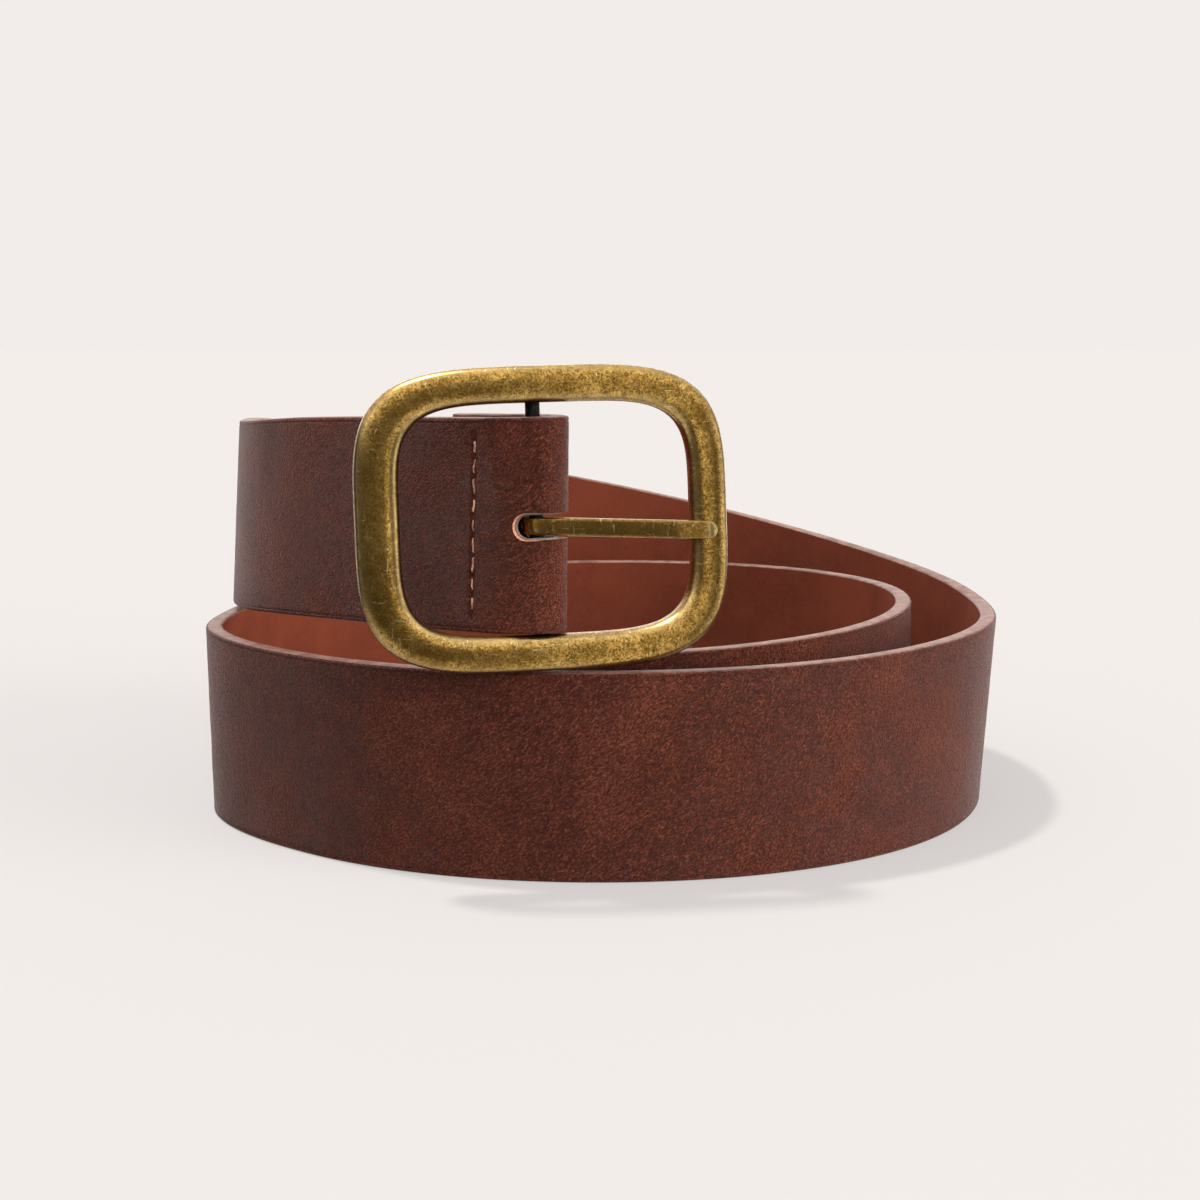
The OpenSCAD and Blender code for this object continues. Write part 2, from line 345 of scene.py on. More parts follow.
TIP_ANGLE = angle_from_tip(TIP_LENGTH)
HOLE_ANGLES = [angle_from_tip(TIP_TO_HOLE + i * HOLE_PITCH) for i in range(HOLE_COUNT)]


def strap_path():
    """The whole strap from its turned-back end, round the bar, to its tip."""
    fine = STITCH_DISTANCE + np.arange(-1.6, 1.61, 0.2)
    behind = np.arange(0.4, STITCH_DISTANCE - 1.7, 0.8)
    past = np.arange(STITCH_DISTANCE + 2, TURN_BACK - 0.8, 0.7)
    s = np.concatenate([behind, fine, past, [TURN_BACK - COAT_COVER, TURN_BACK]])[::-1]
    near = FOLD_ANGLE + np.degrees(np.concatenate([behind - 0.4, fine]) / FIRST_RADIUS)
    far = np.arange(near[-1] + 0.5, TIP_ANGLE - 0.4, 0.85)
    t = np.sin(np.radians(np.linspace(0, 90, 22)))
    half = WIDTH / 2 * np.maximum(0.06, np.sqrt(1 - t**2.4))
    tip = turn_path(TIP_ANGLE + t * (TAIL_ANGLE - TIP_ANGLE), half)
    return joined(
        back_path(s),
        fold_path(np.arange(0, 180, 4)),
        turn_path(np.concatenate([near, far])),
        tip,
    )


def heights(path, up):
    """Heights for each cross-section, squeezed towards the middle along the tip but for
    the outermost rim, which keeps its size."""
    edge = RIM_KEPT
    half = np.maximum(path.half, edge + 0.4)[:, None]
    from_edge = np.minimum(up, WIDTH - up)[None]
    squeezed = edge + (from_edge - edge) * (half - edge) / (WIDTH / 2 - edge)
    kept = np.where(from_edge < edge, from_edge, squeezed)
    low, high = WIDTH / 2 - half, WIDTH / 2 + half
    return np.where(up[None] < WIDTH / 2, low + kept, high - kept)


# Meshes


def new_object(name, points, faces, materials, smooth_angle=40.0):
    """A mesh object from points in millimetres, smooth but for edges sharper than
    smooth_angle."""
    mesh = bpy.data.meshes.new(name)
    mesh.from_pydata((np.asarray(points, float) * MM).tolist(), [], faces)
    for material in materials:
        mesh.materials.append(material)
    mesh.update()
    mesh.shade_smooth()
    mesh.set_sharp_from_angle(angle=math.radians(smooth_angle))
    made = bpy.data.objects.new(name, mesh)
    bpy.context.scene.collection.objects.link(made)
    return made


def tube_faces(count, ring, closed=False):
    """Faces of a tube of count rings of ring points each, either closed into a loop or
    with a cap on both ends."""
    faces = []
    for i in range(count if closed else count - 1):
        j = (i + 1) % count
        for k in range(ring):
            n = (k + 1) % ring
            faces.append((i * ring + k, i * ring + n, j * ring + n, j * ring + k))
    if not closed:
        faces.append(tuple(range(ring))[::-1])
        faces.append(tuple(range((count - 1) * ring, count * ring)))
    return faces


def numbered_from(base, faces):
    """The faces of a tube whose points start at number base."""
    return [tuple(base + v for v in f) for f in faces]


def face_out(obj):
    """Turns a closed mesh's faces outwards if they look inwards, and gives it back."""
    mesh = obj.data
    volume = 0.0
    for p in mesh.polygons:
        corners = [mesh.vertices[i].co for i in p.vertices]
        for a, b in zip(corners[1:-1], corners[2:]):
            volume += corners[0].dot(a.cross(b))
    if volume < 0:
        mesh.flip_normals()
    return obj


def layer(name, path, far, section, materials, relief=None):
    """A closed layer of the strap, down to the depth far. section lists the depths and
    heights of its near face, from the lower edge to the upper one."""
    depth_near, up_near = np.array(section, float).T
    up_far = np.linspace(WIDTH - COAT_COVER, COAT_COVER, 9)
    depth = np.concatenate([depth_near, np.full(len(up_far), far)])
    up = np.concatenate([up_near, up_far])
    depths = np.repeat(depth[None], len(path), 0)
    ups = heights(path, up)
    if relief is not None:
        front = slice(0, len(section))
        depths[:, front] += relief(path, depths[:, front], ups[:, front])
    points = path.points(depths, ups).reshape(-1, 3)
    faces = tube_faces(len(path), len(depth))
    return face_out(new_object(name, points, faces, materials))


def face_section():
    """The grain face across the strap: an edge, the flat middle and the other edge."""
    count = int((WIDTH - 2 * FLAT_FROM) / FLAT_PITCH) + 1
    middle = [(0.0, up) for up in np.linspace(FLAT_FROM, WIDTH - FLAT_FROM, count)]
    return FACE_EDGE + middle + [(d, WIDTH - up) for d, up in FACE_EDGE[::-1]]


def grain_relief(path, depths, ups):
    """Shallow swells and puckers of the grain face, and the stitches' sunk line."""
    rest = path.points(depths, ups)
    swell = np.empty(depths.shape)
    for i, row in enumerate(rest):
        for j, p in enumerate(row):
            pucker = Vector((p[0] * 0.45, p[1] * 0.45, p[2] * 0.3))
            swell[i, j] = (
                noise.noise(Vector(p) * 0.11) * SWELL_DEPTH
                + noise.noise(pucker) * PUCKER_DEPTH
            )
    swell *= np.clip(np.minimum(ups, WIDTH - ups) / 3.0, 0, 1)
    offset = (path.reach - STITCH_DISTANCE)[:, None]
    across = np.exp(-((offset / SUNK_WIDTH) ** 2)) * (path.reach >= 0)[:, None]
    between = (ups > STITCH_MARGIN - 0.6) & (ups < WIDTH - STITCH_MARGIN + 0.6)
    place = (ups - STITCH_MARGIN) / STITCH_PITCH
    near_hole = np.abs(place - np.round(place)) * STITCH_PITCH
    puncture = PUNCTURE_DEPTH * np.exp(-((near_hole / SUNK_WIDTH) ** 2))
    return swell + across * between * (ROW_DEPTH + puncture)


def edge_coat(path, material):
    """The painted edge: a domed bead right round the strap's outline."""
    middle = np.full((len(path), 1), 1.0)
    mid = path.points(middle * THICK / 2, middle * WIDTH / 2)[:, 0]
    travel = np.gradient(mid[:, :2], axis=0)
    travel /= np.linalg.norm(travel, axis=1, keepdims=True)
    steps = np.linalg.norm(np.diff(mid[:, :2], axis=0), axis=1)
    length = np.concatenate([[0], np.cumsum(steps)])
    rows = np.arange(len(path))
    end_up = np.linspace(0, WIDTH, 22)[1:-1]
    row = np.concatenate([rows, rows[::-1], np.zeros(len(end_up), int)])
    up = np.concatenate([WIDTH / 2 + path.half, (WIDTH / 2 - path.half)[::-1], end_up])
    flat = np.stack([length[row], up], -1)
    ahead, behind = np.roll(flat, -1, 0) - flat, flat - np.roll(flat, 1, 0)
    ahead /= np.linalg.norm(ahead, axis=1, keepdims=True)
    behind /= np.linalg.norm(behind, axis=1, keepdims=True)
    out_ahead = np.stack([-ahead[:, 1], ahead[:, 0]], -1)
    out_behind = np.stack([-behind[:, 1], behind[:, 0]], -1)
    outward = out_ahead + out_behind
    outward /= np.linalg.norm(outward, axis=1, keepdims=True)
    outward /= np.maximum(0.6, (outward * out_ahead).sum(1))[:, None]
    lean = path.lean[row]
    rise = path.rise[row]
    upward = np.concatenate([lean, rise[:, None]], -1)
    onward = np.concatenate([travel[row], np.zeros((len(row), 1))], -1)
    rings = []
    for depth, out in COAT_SECTION:
        plan = path.plan[row] + path.into[row] * depth + lean * up[:, None]
        base = np.concatenate([plan, (path.foot[row] + rise * up)[:, None]], -1)
        shift = onward * outward[:, :1] + upward * outward[:, 1:]
        rings.append(base + shift * out)
    points = np.stack(rings, 1).reshape(-1, 3)
    faces = tube_faces(len(row), len(COAT_SECTION), closed=True)
    return face_out(new_object("edge_coat", points, faces, [material], 60))


def rotation(x=0.0, y=0.0, z=0.0):
    """The matrix of turns about X, then Y, then Z, in degrees."""
    turn = (
        Matrix.Rotation(math.radians(z), 3, "Z")
        @ Matrix.Rotation(math.radians(y), 3, "Y")
        @ Matrix.Rotation(math.radians(x), 3, "X")
    )
    return np.array(turn)


BAR_PLAN = LOOP_CENTRE + lean_shift(FOLD_ANGLE)[0] * WIDTH / 2
BAR_MIDDLE = np.array(
    [BAR_PLAN[0] - BAR_SLACK, BAR_PLAN[1], along(FOLD_ANGLE, 2)[0] + BAR_HEIGHT]
)


def at_bar(points, turn):
    """Places points given round the bar: +Z along it, +Y away from the front."""
    turned = rotation(x=-FRAME_LEAN, y=-FRAME_ROLL) @ rotation(z=turn)
    return np.asarray(points, float) @ turned.T + BAR_MIDDLE


def cutters(materials, slot_steps):
    """One mesh for the prong's slot and one for the punched holes. slot_steps lists
    how far in front of the bar each ring of the slot's wall is, and how much wider
    than the slot."""
    middle = SLOT_HEIGHT / 2 - SLOT_REACH
    bow = np.radians(np.linspace(90, 270, 33))
    points = []
    for front, wider in slot_steps:
        radius = SLOT_HEIGHT / 2 + wider
        ring = [(middle + radius * math.cos(a), radius * math.sin(a)) for a in bow]
        ring += [(SLOT_LENGTH, -radius), (SLOT_LENGTH, radius)]
        points += [(x, -front, z + PRONG_LEVEL) for x, z in ring]
    faces = tube_faces(len(slot_steps), len(bow) + 2)
    slot = new_object("slot_cutter", at_bar(points, -FOLD_ANGLE), faces, materials)
    all_points, all_faces = [], []
    circle = np.radians(np.arange(0, 360, 10))
    for angle in HOLE_ANGLES:
        here = turn_path([angle])
        start = here.points(np.zeros((1, 1)), np.full((1, 1), WIDTH / 2))[0, 0]
        lean = math.radians(along(angle, 3)[0])
        n = here.into[0]
        through = np.array([*(n * math.cos(lean)), math.sin(lean)])
        side = np.array([-n[1], n[0], 0])
        upward = np.cross(through, side)
        rim = [
            HOLE_DIAMETER / 2 * (math.cos(c) * side + math.sin(c) * upward)
            for c in circle
        ]
        all_faces += numbered_from(len(all_points), tube_faces(2, len(rim)))
        all_points += [start - HOLE_CUT_OUT * through + r for r in rim]
        all_points += [start + HOLE_CUT_IN * through + r for r in rim]
    holes = new_object("hole_cutter", all_points, all_faces, materials)
    return [face_out(slot), face_out(holes)]


def cut(obj, tools):
    """Cuts the tools out of obj, where the cut walls take the tools' material."""
    for tool in tools:
        modifier = obj.modifiers.new("cut", "BOOLEAN")
        modifier.operation = "DIFFERENCE"
        modifier.solver = "EXACT"
        modifier.material_mode = "TRANSFER"
        modifier.object = tool
    graph = bpy.context.evaluated_depsgraph_get()
    made = bpy.data.meshes.new_from_object(obj.evaluated_get(graph))
    obj.modifiers.clear()
    old = obj.data
    obj.data = made
    made.name = old.name
    bpy.data.meshes.remove(old)
    made.set_sharp_from_angle(angle=math.radians(40))
    return obj


# Buckle


def squared(value, power):
    """A sine or cosine swollen so that an oval becomes squarer with the power."""
    return np.sign(value) * np.abs(value) ** (2 / power)


def oval(t, half_width, half_height, power):
    """Points of a squared oval at angles t."""
    across, up = squared(np.cos(t), power), squared(np.sin(t), power)
    return np.stack([half_width * across, half_height * up], -1)


def even_turns(count, power):
    """Angles that space a squared oval's points evenly along it."""
    fine = np.linspace(0, 2 * math.pi, 7201)
    line = oval(fine, FRAME_HALF_WIDTH, FRAME_HALF_HEIGHT, power)
    steps = np.linalg.norm(np.diff(line, axis=0), axis=1)
    length = np.concatenate([[0], np.cumsum(steps)])
    wanted = np.arange(count) / count * length[-1]
    return np.interp(wanted, length, fine)


def limb_surface(t, s):
    """The frame's surface: t goes round the frame and s round the limb. s at 180
    degrees is the inner edge, and at 270 the front."""
    outer = oval(t, FRAME_HALF_WIDTH, FRAME_HALF_HEIGHT, OUTLINE_POWER)
    half_width = FRAME_HALF_WIDTH - (STRAP_LIMB_WIDTH + PRONG_LIMB_WIDTH) / 2
    inner = oval(t, half_width, FRAME_HALF_HEIGHT - LIMB_WIDTH, OPENING_POWER)
    inner[:, 0] += (STRAP_LIMB_WIDTH - PRONG_LIMB_WIDTH) / 2
    across = (1 + squared(np.cos(s), LIMB_POWER)) / 2
    at = inner[:, None] + (outer - inner)[:, None] * across[None, :, None]
    x = at[..., 0] + FRAME_SHIFT
    bowed = x**2 / (2 * FRAME_BOW)
    depth = FRAME_DEPTH / 2 * squared(np.sin(s), LIMB_POWER)
    return np.stack([x, depth[None] + bowed - BAR_BEHIND, at[..., 1]], -1)


def store(mesh, name, values):
    """Stores a value for each point, which a material can read by its name."""
    attribute = mesh.attributes.new(name, "FLOAT", "POINT")
    attribute.data.foreach_set("value", np.asarray(values, np.float32).ravel())


def lathe(profile, count=40):
    """Points and faces of an (r, z) profile turned about the bar."""
    circle = np.linspace(0, 2 * math.pi, count, endpoint=False)
    points = [
        (r * math.cos(c), r * math.sin(c), z) for r, z in profile for c in circle
    ]
    return np.array(points), tube_faces(len(profile), count)


def buckle_frame(material):
    """The cast frame, slightly dented, and the collar that holds the bar's top end."""
    count, ring = 320, 56
    t = even_turns(count, OUTLINE_POWER)
    s = np.linspace(0, 2 * math.pi, ring, endpoint=False)
    surface = limb_surface(t, s)
    for i in range(count):
        for k in range(ring):
            dent = noise.noise(Vector(surface[i, k]) * 0.1) * WIDE_DENT
            dent += noise.noise(Vector(surface[i, k]) * 0.7) * SMALL_DENT
            middle = surface[i].mean(0)
            away = surface[i, k] - middle
            surface[i, k] -= away / np.linalg.norm(away) * (FRAME_SINK + dent)
    degrees = np.degrees(s)
    inner_ridge = np.exp(-(((degrees - INNER_RIDGE) / RIDGE_SPREAD) ** 2))
    outer_ridge = np.exp(-(((degrees - OUTER_RIDGE) / RIDGE_SPREAD) ** 2))
    wear = np.repeat((inner_ridge + OUTER_WEAR * outer_ridge)[None], count, 0)
    points = at_bar(surface.reshape(-1, 3), FRAME_YAW)
    faces = tube_faces(count, ring, closed=True)
    collar, collar_faces = lathe(COLLAR)
    faces += numbered_from(len(points), collar_faces)
    points = np.concatenate([points, at_bar(collar, FRAME_YAW)])
    made = new_object("brass_frame", points, faces, [material], 60)
    store(made.data, "wear", np.concatenate([wear.ravel(), np.zeros(len(collar))]))
    return face_out(made)


def bar(material):
    """The steel bar, a little uneven along its length, with domed ends."""
    half = FRAME_HALF_HEIGHT - LIMB_WIDTH + BAR_SUNK
    dome = [(AXIS_RADIUS, half), (1.0, half - 0.05), (BAR_RADIUS, half - 0.5)]
    profile = [(r, -z) for r, z in dome]
    for z in np.linspace(-half + 1.2, half - 1.2, 60):
        worn = 0.02 + 0.02 * noise.noise(Vector((z, 0, 3)))
        profile.append((BAR_RADIUS - worn, z))
    profile += dome[::-1]
    points, faces = lathe(profile, 48)
    made = new_object("steel_bar", at_bar(points, FRAME_YAW), faces, [material])
    return face_out(made)


def prong_curl():
    """The prong's eye round the bar: place, thickness and half width along the curl."""
    inner = BAR_RADIUS + PRONG_CLEARANCE
    wall, middle = EYE_RADIUS - inner, (EYE_RADIUS + inner) / 2
    rows = []
    for turn in np.linspace(0, CURL_TURN, 44):
        a = math.radians(turn + CURL_START)
        spot = (-middle * math.sin(a), -middle * math.cos(a))
        rows.append((*spot, wall, PRONG_WIDTH / 2 - CURL_NARROWER))
    return rows


def prong_shank():
    """The prong's straight part, from its rounded root to its rounded tip: place,
    thickness and half width along it."""
    crown = FRAME_HALF_WIDTH - PRONG_LIMB_WIDTH / 2 + FRAME_SHIFT
    limb_front = crown**2 / (2 * FRAME_BOW) - BAR_BEHIND - FRAME_DEPTH / 2
    tip_back = limb_front - PRONG_LIFT
    rest = PRONG_LEVEL_FROM * PRONG_REACH
    root = np.radians(np.linspace(8, 90, 9))
    round_off = np.sin(np.radians(np.linspace(4, 90, 9)))
    tip = np.radians(np.linspace(5, 89, 16))
    xs = np.concatenate(
        [
            ROOT_AT + ROOT_ROUND * (1 - np.cos(root)),
            np.linspace(ROOT_AT + ROOT_ROUND + 0.4, PRONG_REACH - 2.2, 48),
            PRONG_REACH - TIP_ROUND + TIP_ROUND * np.sin(tip),
        ]
    )
    rows = []
    for i, x in enumerate(xs):
        share = min(1.0, max(0.0, x / rest))
        front = -EYE_RADIUS + share * (tip_back - TIP_THICKNESS + EYE_RADIUS)
        back_root = ROOT_THICKNESS - EYE_RADIUS
        back = back_root + share * (tip_back - back_root)
        past = max(0.0, x - (PRONG_REACH - PRONG_WIDTH / 2)) / (PRONG_WIDTH / 2)
        width = PRONG_WIDTH / 2 * math.sqrt(max(0.002, 1 - past**2))
        if i < len(round_off):
            width = PRONG_WIDTH / 2 - ROOT_ROUND * (1 - round_off[i])
        front = back - (back - front) * (1 - TIP_THINNING * past**2)
        rows.append((x, (front + back) / 2, back - front, width))
    return rows


def prong(material):
    """A flat bar curled round the centre bar, with bevelled edges and a round tip."""
    points, wear, faces = [], [], []
    drop = math.tan(math.radians(PRONG_DROP))
    ring = 44
    s = np.linspace(0, 2 * math.pi, ring, endpoint=False)
    thick = squared(np.sin(s), PRONG_FACE_POWER) / 2
    wide = squared(np.cos(s), PRONG_SIDE_POWER)
    for rows in (prong_curl(), prong_shank()):
        line = np.array(rows)
        faces += numbered_from(len(points), tube_faces(len(line), ring))
        ahead = np.gradient(line[:, :2], axis=0)
        ahead /= np.linalg.norm(ahead, axis=1, keepdims=True)
        for (x, y, thickness, width), (dx, dy) in zip(line, ahead):
            level = PRONG_LEVEL - max(0.0, x) * drop
            near_end = max(0.0, 1 - abs(PRONG_REACH - 0.6 - x) / 1.8)
            for k in range(ring):
                offset = thick[k] * thickness
                height = level + wide[k] * width
                points.append((x - dy * offset, y + dx * offset, height))
                edge = math.exp(-(((abs(wide[k]) - 1) / 0.1) ** 2))
                wear.append(max(edge, near_end))
    made = new_object("brass_prong", at_bar(points, FRAME_YAW), faces, [material], 50)
    store(made.data, "wear", wear)
    return face_out(made)


# Stitching


def stitches(name, face, material):
    """One side's stitches, each twisted and diving into a hole at both its ends. They
    differ a little in slant, thickness and length, as hand-guided stitches do."""
    into = 1 if face == 0 else -1
    row = turn_path([STITCH_ANGLE])
    n = np.array([*row.into[0], 0.0])
    travel = np.array([n[1], -n[0], 0.0])
    upward = np.array([*row.lean[0], row.rise[0]])
    steps, ring = 34, 16
    points, faces = [], []
    for i in range(STITCH_COUNT):
        start = STITCH_MARGIN + i * STITCH_PITCH
        slant = 0.16 * math.sin(i * 2.7 + 0.6)
        girth = 1 + 0.2 * math.sin(i * 4.1 + 1)
        slack = 0.42 + 0.24 * math.sin(i * 1.7 + 0.4)
        faces += numbered_from(len(points), tube_faces(steps, ring))
        for j in range(steps):
            share = j / (steps - 1)
            arch = math.sin(math.pi * share)
            dive = 0.7 * (1 - min(1.0, arch * 2.6)) ** 2
            sag = 0.05 * math.sin(share * 9 + i * 1.9)
            depth = face + into * (0.17 + dive - 0.05 * arch + sag)
            up = start + slack + (STITCH_PITCH - 2 * slack) * share
            centre = row.points(np.array([[depth]]), np.array([[up]]))[0, 0]
            bend = 0.1 * math.sin(i * 2.3 + share * 4.0) + slant * (share - 0.5)
            centre = centre + travel * bend
            lean = 0.5 * math.cos(math.pi * share) * into
            lift = n * math.sqrt(1 - lean**2) - upward * lean
            twist = share * 2 * math.pi * 1.8 + i
            for k in range(ring):
                a = 2 * math.pi * k / ring
                lobes = 0.8 + 0.2 * abs(math.cos(a - twist))
                r = THREAD_RADIUS * girth * lobes * (0.75 + 0.25 * arch)
                points.append(centre + r * (math.cos(a) * travel + math.sin(a) * lift))
    return face_out(new_object(name, points, faces, [material], 70))


# Materials


def eased(nodes, links, value, limits):
    """A node that eases the value between two limits to a range given by the others."""
    node = nodes.new("ShaderNodeMapRange")
    node.interpolation_type = "SMOOTHSTEP"
    links.new(value, node.inputs["Value"])
    for key, number in zip(("From Min", "From Max", "To Min", "To Max"), limits):
        node.inputs[key].default_value = number
    return node.outputs["Result"]


class Shader:
    """A small helper that adds nodes to one material and links them."""

    def __init__(self, name):
        self.material = bpy.data.materials.new(name)
        self.material.use_nodes = True
        self.nodes = self.material.node_tree.nodes
        self.links = self.material.node_tree.links
        self.nodes.clear()
        self.out = self.nodes.new("ShaderNodeOutputMaterial")
        self.bsdf = self.nodes.new("ShaderNodeBsdfPrincipled")
        self.links.new(self.bsdf.outputs[0], self.out.inputs["Surface"])
        place = self.nodes.new("ShaderNodeTexCoord")
        self.place = self.scaled(place.outputs["Object"], (1 / MM,) * 3)

    def link(self, value, socket):
        """Links a socket's output, or sets a plain value."""
        if isinstance(value, bpy.types.NodeSocket):
            self.links.new(value, socket)
        else:
            socket.default_value = value

    def scaled(self, vector, factors):
        """The vector times a factor for each axis."""
        node = self.nodes.new("ShaderNodeVectorMath")
        node.operation = "MULTIPLY"
        self.link(vector, node.inputs[0])
        node.inputs[1].default_value = factors
        return node.outputs[0]

    def turned(self, vector, degrees):
        """The vector turned about the Y axis."""
        node = self.nodes.new("ShaderNodeVectorRotate")
        node.rotation_type = "Y_AXIS"
        self.link(vector, node.inputs["Vector"])
        node.inputs["Angle"].default_value = math.radians(degrees)
        return node.outputs[0]

    def noise(self, scale, detail=3.0, roughness=0.55, distortion=0.0, vector=None):
        """A cloudy pattern with scale clouds to the millimetre."""
        node = self.nodes.new("ShaderNodeTexNoise")
        self.link(vector or self.place, node.inputs["Vector"])
        node.inputs["Scale"].default_value = scale
        node.inputs["Detail"].default_value = detail
        node.inputs["Roughness"].default_value = roughness
        node.inputs["Distortion"].default_value = distortion
        return node.outputs["Fac"]

    def shifted(self, scale, amount, vector=None):
        """The place, pushed about by a noise so that patterns lose straight sides."""
        node = self.nodes.new("ShaderNodeTexNoise")
        self.link(vector or self.place, node.inputs["Vector"])
        node.inputs["Scale"].default_value = scale
        node.inputs["Detail"].default_value = 2.0
        push = self.scaled(node.outputs["Color"], (amount,) * 3)
        add = self.nodes.new("ShaderNodeVectorMath")
        add.operation = "ADD"
        self.link(vector or self.place, add.inputs[0])
        self.link(push, add.inputs[1])
        return add.outputs[0]

    def cells(self, scale, vector, feature, smooth=None):
        """Distances within a pattern of cells."""
        node = self.nodes.new("ShaderNodeTexVoronoi")
        node.feature = feature
        self.link(vector, node.inputs["Vector"])
        node.inputs["Scale"].default_value = scale
        if smooth is not None:
            node.inputs["Smoothness"].default_value = smooth
        return node.outputs["Distance"]

    def ranged(self, value, low, high, to_low=0.0, to_high=1.0):
        """The value, eased from one range to another and held past its ends."""
        return eased(self.nodes, self.links, value, (low, high, to_low, to_high))

    def math(self, operation, a, b=0.0):
        node = self.nodes.new("ShaderNodeMath")
        node.operation = operation
        self.link(a, node.inputs[0])
        self.link(b, node.inputs[1])
        return node.outputs[0]

    def times(self, a, b):
        return self.math("MULTIPLY", a, b)

    def mix(self, share, a, b):
        """Colour a, or b where the share is 1."""
        node = self.nodes.new("ShaderNodeMix")
        node.data_type = "RGBA"
        self.link(share, node.inputs[0])
        for value, socket in ((a, node.inputs[6]), (b, node.inputs[7])):
            if isinstance(value, tuple):
                value = (*value, 1.0)
            self.link(value, socket)
        return node.outputs[2]

    def laid(self, base, mask, amount, colour):
        """The base with a colour laid over it by an amount where the mask is 1."""
        return self.mix(self.times(mask, amount), base, colour)

    def scratches(self, scale, stretch):
        """Thin lines, broken into short pieces, that run along the least stretched
        direction."""
        place = self.scaled(self.shifted(0.04, 8.0), stretch)
        lines = self.ranged(self.cells(scale, place, "DISTANCE_TO_EDGE"), 0.0, 0.03)
        few = self.ranged(self.noise(0.75, 2.0, 0.5, 0.0, place), 0.6, 0.66)
        return self.times(self.math("SUBTRACT", 1.0, lines), few)

    def attribute(self, name):
        """A value stored with the mesh's points."""
        node = self.nodes.new("ShaderNodeAttribute")
        node.attribute_name = name
        return node.outputs["Fac"]

    def bump(self, height, distance, strength=1.0, after=None):
        """A normal for heights of up to a distance, on top of another if given."""
        node = self.nodes.new("ShaderNodeBump")
        self.link(height, node.inputs["Height"])
        node.inputs["Distance"].default_value = distance * MM
        node.inputs["Strength"].default_value = strength
        if after is not None:
            self.links.new(after, node.inputs["Normal"])
        return node.outputs["Normal"]

    def finish(self, colour, rough, normal, **uniform):
        """Links the maps, sets the uniform values and gives the material."""
        self.link(colour, self.bsdf.inputs["Base Color"])
        self.link(rough, self.bsdf.inputs["Roughness"])
        if normal is not None:
            self.links.new(normal, self.bsdf.inputs["Normal"])
        for key, value in uniform.items():
            self.bsdf.inputs[key.replace("_", " ")].default_value = value
        return self.material


def grain_material():
    """Dark brown pebbled leather with reddish mottling and fine slanted creases. Its
    pores, hollows and creases are darkened as painted shade, and its raised grain and
    pebble crowns lightened as painted highlight, following the bump's heights.
    """
    m = Shader("grain_leather")
    drawn = m.scaled(m.turned(m.place, 38), (0.42, 1.0, 1.15))
    pebble = m.cells(2.7, m.shifted(1.3, 0.5, drawn), "SMOOTH_F1", 0.3)
    fine = m.noise(4.6, 4.0, 0.7, 0.3, drawn)
    slanted = m.scaled(m.turned(m.shifted(0.1, 4.0), 38), (0.42, 1.0, 1.25))
    wrinkle = m.noise(0.8, 5.0, 0.65, 0.6, slanted)
    folds = m.math("ABSOLUTE", m.math("SUBTRACT", wrinkle, 0.5))
    creases = m.ranged(folds, 0.0, 0.055, 1.0, 0.0)
    patches = m.ranged(m.noise(0.05, 2.0), 0.36, 0.56)
    creases = m.times(creases, patches)
    cloud = m.noise(0.12, 4.0, 0.6)
    mottle = m.noise(1.3, 6.0, 0.75, 0.5)
    dark, mid = (0.078, 0.0185, 0.01), (0.124, 0.031, 0.0165)
    warm, blushed = (0.158, 0.043, 0.023), (0.06, 0.0135, 0.0074)
    # The hollow, pore and crease colours are painted shade for the grain's low places,
    # and the raised and crown colours painted highlight on its high places.
    hollow_shade, raised_highlight = (0.027, 0.0064, 0.0037), (0.21, 0.069, 0.042)
    pore_shade, crown_highlight = (0.03, 0.007, 0.004), (0.19, 0.055, 0.031)
    crease_shade = (0.04, 0.0085, 0.0045)
    base = m.mix(m.ranged(mottle, 0.34, 0.66), dark, mid)
    base = m.laid(base, m.ranged(cloud, 0.36, 0.66), 0.5, warm)
    base = m.laid(base, m.ranged(m.noise(0.4, 3.0, 0.6), 0.44, 0.64), 0.45, blushed)
    # Painted shade in the pebble pores and the fine grain's hollows, and painted
    # highlight on the fine grain's raised places and the pebble crowns, where the bump
    # sinks and rises.
    base = m.laid(base, m.ranged(pebble, 0.28, 0.58), 0.75, pore_shade)
    base = m.laid(base, m.ranged(fine, 0.5, 0.62), 0.8, hollow_shade)
    base = m.laid(base, m.ranged(fine, 0.48, 0.34), 0.65, raised_highlight)
    base = m.laid(base, m.ranged(pebble, 0.26, 0.08), 0.3, crown_highlight)
    # Painted shade along the creases, where the bump sinks.
    base = m.laid(base, creases, 0.6, crease_shade)
    rough = m.ranged(m.noise(1.6, 4.0, 0.6), 0.3, 0.7, 0.38, 0.56)
    height = m.math("SUBTRACT", m.times(fine, -0.6), m.times(pebble, 0.8))
    height = m.math("ADD", height, m.times(wrinkle, 1.3))
    height = m.math("SUBTRACT", height, m.times(creases, 0.45))
    normal = m.bump(height, 0.36, 1.0, m.bump(m.noise(0.2, 3.0), 0.3, 0.4))
    return m.finish(
        base,
        rough,
        normal,
        Specular_IOR_Level=0.09,
        Sheen_Weight=0.17,
        Sheen_Roughness=0.12,
        Sheen_Tint=(0.9, 0.68, 0.68, 1.0),
    )


